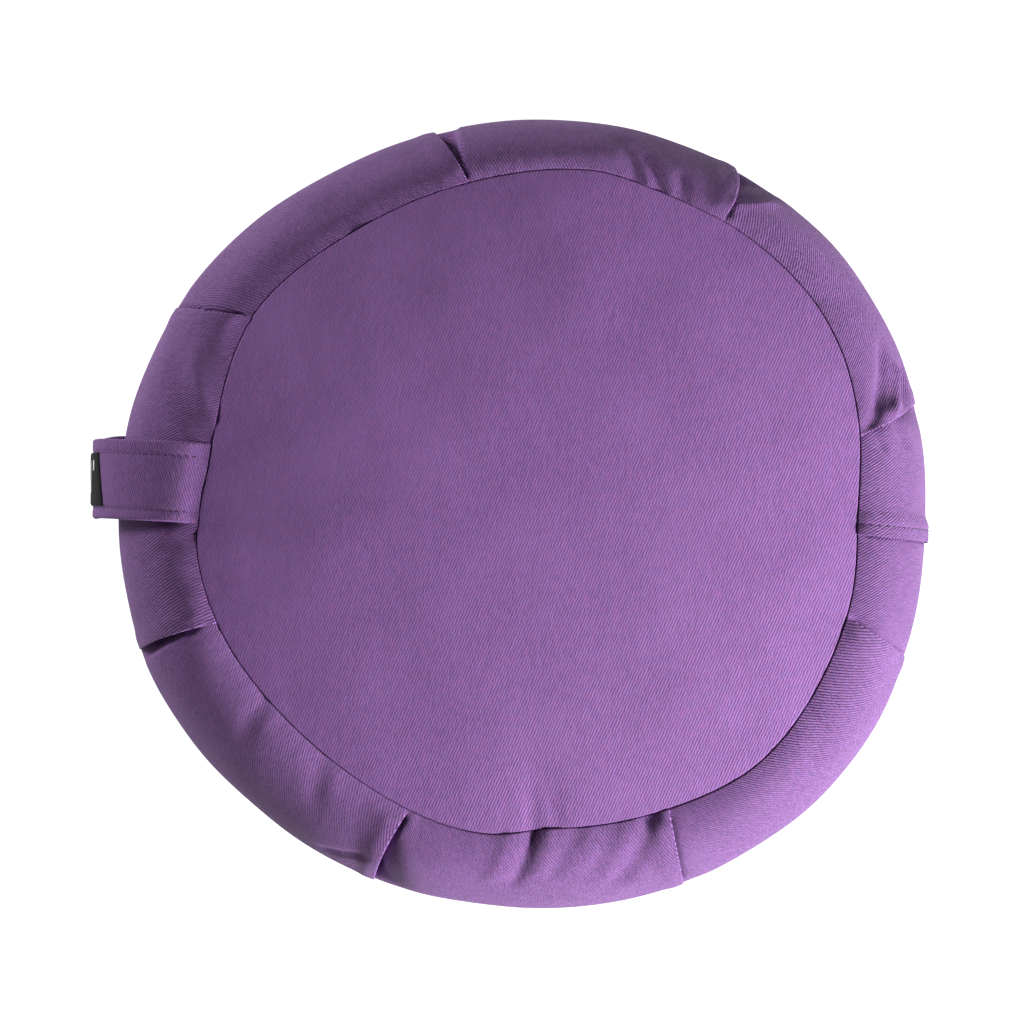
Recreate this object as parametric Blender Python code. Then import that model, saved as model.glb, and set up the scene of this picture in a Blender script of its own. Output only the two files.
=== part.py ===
"""A zafu: a round, firmly filled meditation cushion with a pleated side and a carrying strap.

The cushion lies on the plane z = 0 with its bottom panel, and the strap is on its -X side.
Lengths in the tables and in the functions are millimetres, angles are degrees counted
anticlockwise from +X as seen from above, and to_metres() turns both into Blender's units.

Pieces: side_band (the filled body, whose side is the pleated band), top_panel,
bottom_panel, handle_strap and label_tab.
"""

import math
from collections import namedtuple

import bmesh
import bpy
from mathutils import Vector

# Heights of the three levels that shape the side: the two seams and the widest place.
TOP_SEAM_Z = 110.0
GIRTH_Z = 56.0
BOTTOM_SEAM_Z = 9.0

CROWN = 22.0  # how far the filled top panel rises over its seam
CROWN_POWER = 2.2
FLAT_SHARE = 0.72  # share of the bottom panel's radius that lies flat on the ground
HEEL_POWER = 1.7  # how softly the bottom panel leaves the ground outside that
BOTTOM_RIM_SHARE = 0.97  # the bottom seam is drawn in a little more than the top one

CLOTH = 2.0  # panel thickness, two layers of twill at the seam allowance
GROOVE = 2.6  # how deep the seam is drawn in between its two lips
GAP = 0.3  # between pieces that touch
SEAT_GAP = 0.6  # measured upright under the sloping panels, so 0.3 or more square to them

# The cushion's outline is hand-sewn and a little uneven: the radius of the seam and of
# the widest place at each of these angles, with a smooth curve between them.
Rim = namedtuple("Rim", "angle seam girth")
RIMS = (
    Rim(5, 152.0, 189.5),
    Rim(18, 157.4, 191.5),
    Rim(36, 163.0, 193.4),
    Rim(60, 160.3, 192.0),
    Rim(70, 157.4, 190.4),
    Rim(81, 158.6, 187.6),
    Rim(97, 153.1, 185.0),
    Rim(110, 150.0, 184.0),
    Rim(126, 148.2, 184.3),
    Rim(149, 151.8, 189.2),
    Rim(165, 146.6, 190.8),
    Rim(178, 144.4, 191.0),
    Rim(190, 149.8, 191.0),
    Rim(205, 148.8, 192.3),
    Rim(225, 144.4, 188.8),
    Rim(240, 143.9, 187.2),
    Rim(254, 146.4, 186.6),
    Rim(268, 149.2, 185.4),
    Rim(276, 145.2, 185.4),
    Rim(288, 147.6, 188.3),
    Rim(302, 151.8, 191.4),
    Rim(317, 157.6, 193.4),
    Rim(338, 155.6, 195.0),
    Rim(350, 154.6, 191.4),
)

# The knife pleats that take the band in at both seams. lap is +1 where the cloth on the
# anticlockwise side lies on top. lean is how far the folded edge has swung, in degrees,
# by the time it reaches the widest place, where the pleat has opened into a pocket.
Pleat = namedtuple("Pleat", "angle lap lean pocket_width pocket_depth")
PLEATS = (
    Pleat(17.5, 1, 2.8, 13.0, 4.0),
    Pleat(60.1, 1, 2.7, 20.0, 5.0),
    Pleat(104.3, 1, 3.3, 13.0, 9.0),
    Pleat(149.2, 1, 4.7, 11.0, 4.0),
    Pleat(204.9, -1, 0.2, 8.0, 6.5),
    Pleat(254.0, -1, -0.4, 13.0, 6.0),
    Pleat(300.9, -1, -3.2, 15.0, 4.0),
    Pleat(346.8, -1, -2.7, 9.0, 3.0),
)

# One section across a pleat, from the cloth on top to the cloth below. seam, fold and
# girth are distances from the folded edge at the seam, just below it and at the girth,
# pocket is a share of the pocket's width added at the girth, and sink is a share of how
# far the under layer lies below the upper one.
Station = namedtuple("Station", "seam fold girth pocket sink")
PLEAT_SECTION = (
    Station(-13.0, -13.0, -13.0, 0.0, 0.0),
    Station(-3.0, -3.0, -3.5, 0.0, -0.22),
    Station(0.0, 0.0, 0.0, 0.0, 0.12),
    Station(0.6, -6.0, -1.6, 0.0, 0.62),
    Station(1.2, 0.8, 0.6, 0.12, 1.0),
    Station(7.0, 7.0, 2.0, 0.55, 0.45),
    Station(17.0, 17.0, 8.0, 1.1, 0.0),
)
UNDER_LAYER = 2.4  # how far the under layer lies below the upper one near a seam
GIRTH_STEP = 1.0  # and how far at the girth, where the cloth is pulled smooth
# Rows, counted from either seam, over which the folds take shape below the flat seam and
# over which a pleat opens out again towards the girth, and where its pocket is deepest.
FOLD_FORMED_BY = 0.1
FOLD_OPENS_FROM = 0.08
POCKET_PEAK = 0.27
LAP_FORMED_BY = 0.05

# The band's two ends are lapped and topstitched opposite the strap.
LAP_ANGLE = 0.4
LapStation = namedtuple("LapStation", "across sink")
LAP_SECTION = (
    LapStation(-10.0, 0.0),
    LapStation(-4.0, -1.2),
    LapStation(0.0, -1.2),
    LapStation(0.6, 0.1),
)

# Soft dents that run down from the seam where the cloth is pinched.
Dent = namedtuple("Dent", "angle lean depth width")
DENTS = (
    Dent(276.6, 3.0, 4.0, 7.0),
    Dent(26.0, 1.0, 3.5, 7.0),
    Dent(72.5, 1.5, 2.5, 8.0),
    Dent(290.0, -6.0, 2.5, 9.0),
)

PLAIN_STEP = 9.0  # degrees between the band's columns where nothing happens

# Rows of the band from the top seam (0) to the bottom seam (1); 0.5 is the girth.
BAND_ROWS = (0.0, 0.012, 0.055, 0.13, 0.24, 0.37, 0.5, 0.63, 0.76, 0.87, 0.945, 0.988, 1.0)
LIP_ROW = 0.012
LIP_DROP = 0.6  # how far the lip's own row lies below the seam's level
PANEL_RINGS = (0.16, 0.44, 0.72, 0.93, 0.98, 1.0)
SHOULDER = 0.93  # share of a panel's radius where it starts to turn down into the seam

# The carrying strap: cloth folded flat, sewn into both seams.
STRAP_ANGLE = 180.0
STRAP_WIDTH = 37.0
STRAP_THICKNESS = 2.4
STRAP_REACH = 57.0  # from the seam to the strap's middle surface at the girth
STRAP_LIFT = 1.6  # its middle surface over the seam, at both ends
STRAP_END_GAP = 0.7  # between its ends and the panels' edges
STRAP_END_POWER = 3  # how soon its section leaves the seam's own curve
STRAP_STATIONS = 29
STRAP_COLUMNS = (-1.0, -0.93, 0.0, 0.93, 1.0)
STRAP_EDGE_SHARE = 0.35  # thickness left at its rolled edges
# Sideways place of the strap's middle at shares of its length from the top seam.
Sway = namedtuple("Sway", "along aside")
STRAP_SWAY = (Sway(0.0, -0.8), Sway(0.25, -1.4), Sway(0.5, -2.2), Sway(0.7, 1.0),
              Sway(0.85, 1.8), Sway(1.0, 1.2))

# The small woven label on the strap's outer face.
LABEL_WIDTH = 24.5
LABEL_THICKNESS = 0.8
LABEL_ALONG = (0.365, 0.655)  # shares of the strap's length
LABEL_STATIONS = 9


def to_metres(x, y, z):
    return Vector((x, y, z)) * 0.001


def smooth(t):
    t = min(max(t, 0.0), 1.0)
    return t * t * (3.0 - 2.0 * t)


def catmull_rom(a, b, c, d, t):
    return b + 0.5 * t * (c - a + t * (2 * a - 5 * b + 4 * c - d + t * (3 * (b - c) + d - a)))


def rim_radius(angle, column):
    """The RIMS column at this angle, on a smooth closed curve through its rows."""
    angle = (angle - RIMS[0].angle) % 360.0 + RIMS[0].angle
    count = len(RIMS)
    i = max(k for k in range(count) if RIMS[k].angle <= angle)
    start = RIMS[i].angle
    end = RIMS[(i + 1) % count].angle + (360.0 if i == count - 1 else 0.0)
    values = [getattr(RIMS[(i + k) % count], column) for k in (-1, 0, 1, 2)]
    return catmull_rom(*values, (angle - start) / (end - start))


def seam_radius(angle, at_bottom=False):
    return rim_radius(angle, "seam") * (BOTTOM_RIM_SHARE if at_bottom else 1.0)


def turn_between(a, b):
    """The signed turn from angle b to angle a, between -180 and 180."""
    return (a - b + 180.0) % 360.0 - 180.0


def side_point(angle, row):
    """(radius, height, outward normal's radius and height) of the plain side surface."""
    upper = row <= 0.5
    inner = seam_radius(angle, at_bottom=not upper)
    bulge = rim_radius(angle, "girth") - inner
    rise = (TOP_SEAM_Z - GIRTH_Z) if upper else (GIRTH_Z - BOTTOM_SEAM_Z)
    phi = math.pi * row
    radius = inner + bulge * math.sin(phi)
    height = GIRTH_Z + rise * math.cos(phi)
    normal = Vector((rise * math.sin(phi), bulge * math.cos(phi))).normalized()
    return radius, height, normal


def lean_at(angle):
    """How far a column at this seam angle has swung at the girth, eased between pleats."""
    fixed = sorted([(p.angle, p.lean) for p in PLEATS] + [(LAP_ANGLE, 0.0), (STRAP_ANGLE, 0.0)])
    before = [f for f in fixed if f[0] <= angle] or [(fixed[-1][0] - 360.0, fixed[-1][1])]
    after = [f for f in fixed if f[0] > angle] or [(fixed[0][0] + 360.0, fixed[0][1])]
    (a, lean_a), (b, lean_b) = before[-1], after[0]
    return lean_a + (lean_b - lean_a) * smooth((angle - a) / (b - a))


def pleat_offset(pleat, station, row):
    """(distance across the pleat, depth under the plain side) of one column at a row."""
    from_seam = min(row, 1.0 - row)
    formed = smooth(from_seam / FOLD_FORMED_BY)
    opened = smooth((from_seam - FOLD_OPENS_FROM) / (0.5 - FOLD_OPENS_FROM))
    near_seam = station.seam + (station.fold - station.seam) * formed
    at_girth = station.girth + station.pocket * pleat.pocket_width
    across = near_seam + (at_girth - near_seam) * opened
    deepened = smooth(from_seam / POCKET_PEAK)
    closed = smooth((from_seam - POCKET_PEAK) / (0.5 - POCKET_PEAK))
    pocket = UNDER_LAYER * formed + (pleat.pocket_depth - UNDER_LAYER) * deepened
    return across, station.sink * (pocket + (GIRTH_STEP - pocket) * closed)


def dent_depth(angle, row):
    """How far all the dents together push the side in here."""
    bulge = math.sin(math.pi * row)
    total = 0.0
    for dent in DENTS:
        turn = math.radians(turn_between(angle, dent.angle + dent.lean * bulge))
        across = turn * rim_radius(dent.angle, "girth")
        total += dent.depth * bulge * math.exp(-((across / dent.width) ** 2))
    return total


# A column of the band runs from seam to seam. angle is its angle at the seams, and
# offset(row) gives how far it lies across from there and how deep, in that row.
Column = namedtuple("Column", "angle offset")


def plain_offset(_row):
    return 0.0, 0.0


def pleat_columns(pleat):
    radius = seam_radius(pleat.angle)
    columns = []
    for station in PLEAT_SECTION:
        def offset(row, station=station):
            across, sink = pleat_offset(pleat, station, row)
            return -pleat.lap * (across - station.seam), sink

        angle = pleat.angle - pleat.lap * math.degrees(station.seam / radius)
        columns.append(Column(angle % 360.0, offset))
    return columns


def lap_columns():
    radius = seam_radius(LAP_ANGLE)
    columns = []
    for station in LAP_SECTION:
        def offset(row, station=station):
            return 0.0, station.sink * smooth(min(row, 1.0 - row) / LAP_FORMED_BY)

        angle = LAP_ANGLE - math.degrees(station.across / radius)
        columns.append(Column(angle % 360.0, offset))
    return columns


def band_columns():
    """Every column of the band in angle order, with plain ones between the pleats."""
    shaped = lap_columns() + [column for pleat in PLEATS for column in pleat_columns(pleat)]
    shaped.sort(key=lambda column: column.angle)
    plain = []
    for column, after in zip(shaped, shaped[1:] + shaped[:1]):
        room = (after.angle - column.angle) % 360.0
        parts = int(room // PLAIN_STEP) + 1
        plain += [Column((column.angle + room * k / parts) % 360.0, plain_offset)
                  for k in range(1, parts)]
    return sorted(shaped + plain, key=lambda column: column.angle)


def band_point(column, row):
    """A point of the band's outer surface, in metres."""
    across, sink = column.offset(row)
    angle = column.angle + lean_at(column.angle) * math.sin(math.pi * row)
    radius, height, normal = side_point(angle, row)
    angle += math.degrees(across / radius)
    sink += dent_depth(angle, row)
    down = 1.0 if row < 0.5 else -1.0
    if row in (0.0, 1.0):
        radius += GAP
        height -= down * GROOVE
    elif row in (LIP_ROW, 1.0 - LIP_ROW):
        height -= down * LIP_DROP
    radius -= sink * normal.x
    height -= sink * normal.y
    turn = math.radians(angle)
    return to_metres(radius * math.cos(turn), radius * math.sin(turn), height)


def panel_height(share, at_bottom):
    """Height of a panel's outer face at this share of its radius."""
    tuck = GROOVE * smooth((share - SHOULDER) / (1.0 - SHOULDER))
    if at_bottom:
        heel = max(0.0, (share - FLAT_SHARE) / (1.0 - FLAT_SHARE))
        return BOTTOM_SEAM_Z * heel ** HEEL_POWER + tuck
    return TOP_SEAM_Z + CROWN * (1.0 - share ** CROWN_POWER) - tuck


def panel_ring(columns, share, inwards, at_bottom, spare=0.0):
    """One ring of a panel, or of the seat under it, set inwards from its outer face."""
    height = panel_height(share, at_bottom) + (inwards if at_bottom else -inwards)
    ring = []
    for column in columns:
        turn = math.radians(column.angle)
        radius = seam_radius(column.angle, at_bottom) * share + spare
        ring.append(to_metres(radius * math.cos(turn), radius * math.sin(turn), height))
    return ring


def mesh_object(name, bm, material):
    bmesh.ops.recalc_face_normals(bm, faces=bm.faces)
    bmesh.ops.triangulate(bm, faces=bm.faces)
    mesh = bpy.data.meshes.new(name)
    bm.to_mesh(mesh)
    bm.free()
    mesh.materials.append(material)
    mesh.shade_smooth()
    mesh.set_sharp_from_angle(angle=math.radians(40.0))
    obj = bpy.data.objects.new(name, mesh)
    bpy.context.scene.collection.objects.link(obj)
    return obj


def loft(name, rings, material):
    """A closed solid through rings of equally many points, with both ends filled."""
    bm = bmesh.new()
    made = [[bm.verts.new(p) for p in ring] for ring in rings]
    for ring_a, ring_b in zip(made, made[1:]):
        for k in range(len(ring_a)):
            after = (k + 1) % len(ring_a)
            bm.faces.new((ring_a[k], ring_a[after], ring_b[after], ring_b[k]))
    bm.faces.new(made[0])
    bm.faces.new(made[-1])
    return mesh_object(name, bm, material)


def make_material(name, colour, roughness):
    material = bpy.data.materials.new(name)
    material.use_nodes = True
    shader = material.node_tree.nodes["Principled BSDF"]
    shader.inputs["Base Color"].default_value = (*colour, 1.0)
    shader.inputs["Roughness"].default_value = roughness
    shader.inputs["Metallic"].default_value = 0.0
    return material


def make_side_band(columns, material):
    """The filled body: seat of the top panel, pleated side, seat of the bottom panel."""
    under = CLOTH + SEAT_GAP
    top_seat = [panel_ring(columns, share, under, False, GAP if share == 1.0 else 0.0)
                for share in PANEL_RINGS]
    side = [[band_point(column, row) for column in columns] for row in BAND_ROWS]
    bottom_seat = [panel_ring(columns, share, under, True, GAP if share == 1.0 else 0.0)
                   for share in reversed(PANEL_RINGS)]
    return loft("side_band", top_seat + side + bottom_seat, material)


def make_panel(name, columns, at_bottom, material):
    outer = [panel_ring(columns, share, 0.0, at_bottom) for share in PANEL_RINGS]
    inner = [panel_ring(columns, share, CLOTH, at_bottom) for share in reversed(PANEL_RINGS)]
    return loft(name, outer + inner, material)


def sway_at(along):
    i = max(k for k in range(len(STRAP_SWAY) - 1) if STRAP_SWAY[k].along <= along)
    a, b = STRAP_SWAY[i], STRAP_SWAY[i + 1]
    return a.aside + (b.aside - a.aside) * smooth((along - a.along) / (b.along - a.along))


def strap_point(along, across, lift):
    """A point of the strap, lift above its middle surface, in metres.

    along runs from the top seam (0) to the bottom seam (1), across from -1 to 1.
    """
    aside = sway_at(along) + across * STRAP_WIDTH / 2
    phi = math.pi * along
    upper = along <= 0.5
    at_end = abs(math.cos(phi)) ** STRAP_END_POWER
    place = math.degrees(math.asin(-aside / seam_radius(STRAP_ANGLE)))
    local = seam_radius(STRAP_ANGLE + place, not upper) * math.cos(math.radians(place))
    middle = seam_radius(STRAP_ANGLE, not upper)
    start = middle + (local + STRAP_END_GAP - middle) * at_end
    full = seam_radius(STRAP_ANGLE) + STRAP_REACH
    rise = (TOP_SEAM_Z - GIRTH_Z if upper else GIRTH_Z - BOTTOM_SEAM_Z) + STRAP_LIFT
    bulge = full - start
    out = Vector((rise * math.sin(phi), bulge * math.cos(phi))).normalized()
    radius = start + bulge * math.sin(phi) + lift * out.x
    height = GIRTH_Z + rise * math.cos(phi) + lift * out.y
    return to_metres(-radius, aside, height)


def strap_section(along, width_share, columns, low, high, edge_share):
    """A closed section across the strap between two heights over its middle surface."""
    def lift(side, column):
        middle = (low + high) / 2
        full = (high - low) / 2 * side
        return middle + full * (edge_share if abs(column) == 1.0 else 1.0)

    outer = [strap_point(along, c * width_share, lift(1, c)) for c in columns]
    inner = [strap_point(along, c * width_share, lift(-1, c)) for c in reversed(columns)]
    return outer + inner


def make_handle_strap(material):
    half = STRAP_THICKNESS / 2
    rings = [strap_section(i / (STRAP_STATIONS - 1), 1.0, STRAP_COLUMNS, -half, half,
                           STRAP_EDGE_SHARE) for i in range(STRAP_STATIONS)]
    return loft("handle_strap", rings, material)


def make_label_tab(material):
    low = STRAP_THICKNESS / 2 + GAP
    start, end = LABEL_ALONG
    rings = [strap_section(start + (end - start) * i / (LABEL_STATIONS - 1),
                           LABEL_WIDTH / STRAP_WIDTH, (-1.0, 0.0, 1.0), low,
                           low + LABEL_THICKNESS, 1.0) for i in range(LABEL_STATIONS)]
    return loft("label_tab", rings, material)


def main():
    for obj in list(bpy.data.objects):
        bpy.data.objects.remove(obj)
    twill = make_material("purple_twill", (0.22, 0.11, 0.31), 0.9)
    woven_label = make_material("black_woven_label", (0.012, 0.012, 0.014), 0.75)
    columns = band_columns()
    make_side_band(columns, twill)
    make_panel("top_panel", columns, False, twill)
    make_panel("bottom_panel", columns, True, twill)
    make_handle_strap(twill)
    make_label_tab(woven_label)


main()
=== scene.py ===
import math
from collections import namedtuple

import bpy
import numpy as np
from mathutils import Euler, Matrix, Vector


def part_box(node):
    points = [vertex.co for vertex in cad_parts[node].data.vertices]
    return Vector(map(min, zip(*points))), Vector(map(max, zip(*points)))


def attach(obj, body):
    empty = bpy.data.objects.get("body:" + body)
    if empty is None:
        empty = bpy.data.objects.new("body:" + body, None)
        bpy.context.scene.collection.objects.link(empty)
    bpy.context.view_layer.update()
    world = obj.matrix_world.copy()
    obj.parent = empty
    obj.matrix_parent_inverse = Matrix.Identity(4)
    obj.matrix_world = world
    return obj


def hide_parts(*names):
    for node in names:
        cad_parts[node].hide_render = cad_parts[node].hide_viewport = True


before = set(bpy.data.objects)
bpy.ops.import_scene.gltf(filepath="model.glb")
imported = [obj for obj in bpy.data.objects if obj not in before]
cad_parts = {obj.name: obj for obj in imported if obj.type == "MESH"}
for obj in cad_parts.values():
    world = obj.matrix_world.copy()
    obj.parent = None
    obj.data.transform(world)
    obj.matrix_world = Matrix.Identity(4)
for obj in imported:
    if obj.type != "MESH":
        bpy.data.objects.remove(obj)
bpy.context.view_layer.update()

# The looks of a zafu cushion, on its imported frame: purple twill, a crowned top, a side
# band taken in by knife pleats, and a topstitched carrying strap with a woven label.
# Lengths are metres, and millimetres in the tables. Angles in the tables are degrees,
# anticlockwise from +X seen from above. A row runs down the side from the top seam (0)
# over the girth (0.5) to the bottom seam (1), and plan is how far out a row lies between
# seam and girth, from 0 to 1.

MM = 0.001

# ---------------------------------------------------------------- the cushion's own sizes
CLOTH = 2.0 * MM
SEAM_DROP = 2.6 * MM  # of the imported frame's panels below the level of the seam
GROOVE = 1.2 * MM  # how far a seam is drawn in between its lips
SEAM_GAP = 0.1 * MM
CROWN_POWER = 2.2  # shapes the top's fall from its crown to the seam
FLAT_SHARE = 0.72  # of the underside's radius lies flat
HEEL_POWER = 1.7  # shapes the underside's rise from there to the seam
BOTTOM_RIM_SHARE = 0.97  # the bottom seam's radius over the top seam's
BAND_END_GAP = 0.6 * MM  # between a panel's inner face and the band's closed end
BAND_INSET = 0.8 * MM  # of the band's face inside the measured outline
FILLING_LUMP = 0.45 * MM  # height of the filling's unevenness under the band
MEAN_RADIUS = 0.17  # turns an angle into a length for the ripples
OUTLINE_FROM = 0.14  # points nearer the axis than this belong to no outline
BAND_LIP = 0.45 * MM  # radius of the rounded edge where a cloth turns down into the seam
PANEL_LIP = 0.4 * MM

# ---------------------------------------------------------------- pleats, creases, join
# lap is +1 where the cloth on the anticlockwise side lies on top. mid and out are how far
# the folded edge has swung halfway out and at the girth. The pocket beside it is gap wide
# at the girth and depth deep. It opens start from the seam and is deepest in the row peak.
# wall says how abruptly the under layer comes back up: 0.75 is a soft slope and 3 a crisp
# shoulder. slit is how much deeper the under layer dips right beside the folded edge.
Pleat = namedtuple("Pleat", "angle lap mid out gap depth start peak wall slit")
PLEATS = (
    Pleat(17.0, 1, 1.35, 3.2, 15.0, 7.5, 3.0, 0.36, 1.0, 0.4),
    Pleat(60.1, 1, 0.65, 3.3, 32.0, 17.0, 8.0, 0.42, 0.75, 1.0),
    Pleat(104.3, 1, 2.0, 3.9, 13.0, 19.0, 2.0, 0.40, 3.0, 0.8),
    Pleat(149.4, 1, 3.2, 5.0, 12.0, 4.5, 2.0, 0.38, 1.0, 4.6),
    Pleat(205.2, -1, -0.7, -0.6, 8.5, 15.0, 2.0, 0.25, 2.2, 0.0),
    Pleat(254.0, -1, -1.2, -1.2, 27.0, 12.0, 4.0, 0.40, 0.75, 1.4),
    Pleat(300.7, -1, -1.65, -2.6, 16.0, 4.5, 2.0, 0.38, 1.0, 1.3),
    Pleat(346.4, -1, -1.4, -2.5, 11.0, 4.5, 2.0, 0.36, 1.0, 5.5),
)
LAYER = 0.9 * MM  # height of one layer of band cloth in a flat fold
FOLD_AT_GIRTH = 1.6 * MM  # overlap left where a pleat has opened out
EDGE_RADIUS = 0.45 * MM  # of a folded edge
SLIT_REACH = 1.3 * MM
PLEAT_PUFF = 0.35 * MM  # how far the upper layer swells just behind its folded edge
# Steps across a pleat, away from its folded edge: over the under layer, up the hidden
# return as shares of its width, round the edge in degrees, and over the upper layer.
UNDER_STEPS = np.concatenate([np.arange(37.0, 4.5, -1.25), np.arange(4.2, -0.1, -0.7)])
RETURN_SHARES = (0.8, 0.6, 0.4, 0.2, 0.06)
ROUND_EDGE = (-90.0, -45.0, 0.0, 45.0, 90.0)
UPPER_STEPS = (0.9, 1.8, 2.8, 3.9, 5.1, 6.4, 7.8, 9.3, 10.9, 12.6, 14.4, 16.4, 18.6, 21.0)

# The outline is measured clear of the pleats and of these dents: angle and reach.
PLEAT_REACH = 5.5
DENTS = ((276.6, 5.0), (289.0, 6.0), (26.0, 6.0), (72.5, 5.0))

# A crease runs from a to b as a soft trough, or as a ridge where depth is negative.
Crease = namedtuple("Crease", "angle_a row_a angle_b row_b width depth")
CREASES = (
    Crease(19.8, 0.175, 25.2, 0.275, 2.2, -2.4),
    Crease(18.8, 0.06, 28.5, 0.22, 3.8, 3.2),
    Crease(21.0, 0.28, 24.6, 0.36, 3.6, 2.6),
    Crease(16.2, 0.08, 14.8, 0.10, 2.2, 1.9),
    Crease(16.9, 0.20, 15.0, 0.23, 2.6, 2.2),
    Crease(60.0, 0.10, 56.0, 0.24, 3.0, -1.1),
    Crease(71.2, 0.00, 75.4, 0.13, 3.4, 1.7),
    Crease(75.7, 0.00, 79.0, 0.20, 4.4, 1.3),
    Crease(73.6, 0.02, 77.2, 0.17, 2.4, -0.8),
    Crease(67.4, 0.00, 69.0, 0.10, 3.2, 1.2),
    Crease(276.4, 0.01, 273.4, 0.21, 2.8, 2.0),
    Crease(279.6, 0.02, 277.4, 0.16, 3.0, -0.9),
    Crease(272.4, 0.02, 270.0, 0.18, 3.6, -1.0),
    Crease(284.0, 0.02, 280.0, 0.16, 3.4, 0.8),
    Crease(290.5, 0.02, 285.5, 0.18, 3.6, 0.9),
    Crease(297.0, 0.01, 289.5, 0.24, 4.2, 1.9),
    Crease(245.0, 0.34, 249.8, 0.27, 2.6, 1.3),
    Crease(236.0, 0.02, 238.5, 0.12, 5.0, 0.9),
    Crease(221.0, 0.01, 223.5, 0.12, 4.5, 0.8),
    Crease(172.6, 0.00, 163.0, 0.20, 4.2, 0.9),
    Crease(168.5, 0.01, 160.0, 0.14, 3.0, -0.9),
    Crease(189.5, 0.00, 192.5, 0.20, 3.0, 1.0),
    Crease(125.0, 0.01, 127.0, 0.13, 5.0, 0.8),
    Crease(330.0, 0.01, 327.0, 0.14, 5.5, 0.9),
    Crease(41.0, 0.01, 38.0, 0.13, 5.5, 0.8),
)

LAP_ANGLE = 0.4  # the band's two ends are lapped here
LAP_RISE = 1.7 * MM
LAP_SLIT = 1.2 * MM  # how far the plain side dips beside the lapped edge
LAP_SLIT_REACH = 0.9  # millimetres
LAP_FLAT = 7.0 * MM  # the lapped end keeps its height this far back from its edge
LAP_SPREAD = 13.0 * MM  # and has sunk to the plain side this far back
LAP_EDGE_RADIUS = 0.3 * MM
LAP_STITCH_LINE = 5.4 * MM  # from the folded edge
LAP_SEWN_DEPTH = 0.4 * MM
LAP_UNDER_STEPS = (3.0, 2.2, 1.6, 1.1, 0.7, 0.3, -0.1, -0.5, -0.8)
LAP_UPPER_STEPS = (0.7, 1.3, 2.0, 2.8, 3.6, 4.2, 4.7, 5.1, 5.4, 5.7, 6.1, 6.6, 7.3, 8.2,
                   9.4, 10.8, 12.4)

# ---------------------------------------------------------------- strap and label
STRAP_WIDTH = 37.0 * MM
STRAP_THICKNESS = 2.4 * MM
STRAP_STITCH_LINES = (12.0 * MM, -13.5 * MM)  # from its middle
STRAP_SEWN_DEPTH = 0.60 * MM
STRAP_PUFF = 0.16 * MM  # between the stitch lines
STRAP_END_DIP = 2.6 * MM
STRAP_RING = 0.75 * MM  # between two cross-sections
Sway = namedtuple("Sway", "along aside")
STRAP_SWAY = (Sway(0.0, -0.8), Sway(0.25, -1.4), Sway(0.5, -1.6), Sway(0.7, 2.6),
              Sway(0.85, 3.4), Sway(1.0, 2.8))
STRAP_TWIST = 0.084  # its upper edge at the girth reaches further out than its lower one
LABEL_WIDTH = 24.5 * MM
LABEL_THICKNESS = 0.8 * MM
LABEL_ALONG = (0.342, 0.655)
LABEL_LIFT = 0.15 * MM  # of its underside over the strap's plain face
LABEL_ASIDE = 0.3 * MM  # of its middle from the strap's
BAR_SUNK = 0.15 * MM
BAR_HEIGHT = 0.3 * MM
# Each bar's start and end along the label, and its reach across it, as shares.
LABEL_BARS = ((0.14, 0.17, 0.20), (0.27, 0.30, 0.62), (0.38, 0.41, 0.40))

BAND_PICKS = 1.7  # how much closer the picks lie in the band than in the panels
STRAP_PICKS = 1.3

STITCH_LENGTH = 2.5 * MM
STITCH_PITCH = 3.3 * MM
STITCH_RADIUS = 0.34 * MM
STITCH_TROUGH = 0.9 * MM  # half the width that a row of stitches draws in

# ---------------------------------------------------------------- camera and light
TURN = math.radians(4.8)  # the object is seen turned this far clockwise
CAMERA_TILT = math.radians(1.5)
CAMERA_DISTANCE = 1.6
CAMERA_AIM = (-5.17 * MM, -0.43 * MM)
CAMERA_LENS = 119.3
Lamp = namedtuple("Lamp", "name azimuth elevation distance size watts")
LAMPS = (Lamp("key", -30.0, 17.0, 2.6, 0.6, 202.0),
         Lamp("fill", 148.0, 15.0, 1.05, 0.3, 8.2))
WORLD_STRENGTH = 0.03
PURPLE = (0.242, 0.107, 0.330)


def smooth(t):
    t = np.clip(t, 0.0, 1.0)
    return t * t * (3.0 - 2.0 * t)


def node_points(node):
    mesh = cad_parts[node].data
    points = np.empty(len(mesh.vertices) * 3)
    mesh.vertices.foreach_get("co", points)
    return points.reshape(-1, 3)


class Ring:
    """A smooth closed outline around the Z axis, measured on a node of the frame."""

    STEPS = 720

    def __init__(self, points, soften):
        points = points[np.hypot(points[:, 0], points[:, 1]) > OUTLINE_FROM]
        angles = np.round(np.arctan2(points[:, 1], points[:, 0]), 3)
        radii = np.hypot(points[:, 0], points[:, 1])
        outer = {}
        for angle, radius in zip(angles, radii):
            outer[angle] = max(radius, outer.get(angle, 0.0))
        known = np.array(sorted(outer))
        grid = np.linspace(-math.pi, math.pi, self.STEPS, endpoint=False)
        plain = np.interp(grid, known, [outer[a] for a in known], period=2 * math.pi)
        reach = np.fft.fftfreq(self.STEPS, 1.0 / self.STEPS)
        keep = np.exp(-0.5 * (reach * math.radians(soften)) ** 2)
        self.grid = grid
        self.radii = np.fft.ifft(np.fft.fft(plain) * keep).real

    def at(self, angle):
        return np.interp(angle, self.grid, self.radii, period=2 * math.pi)


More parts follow.
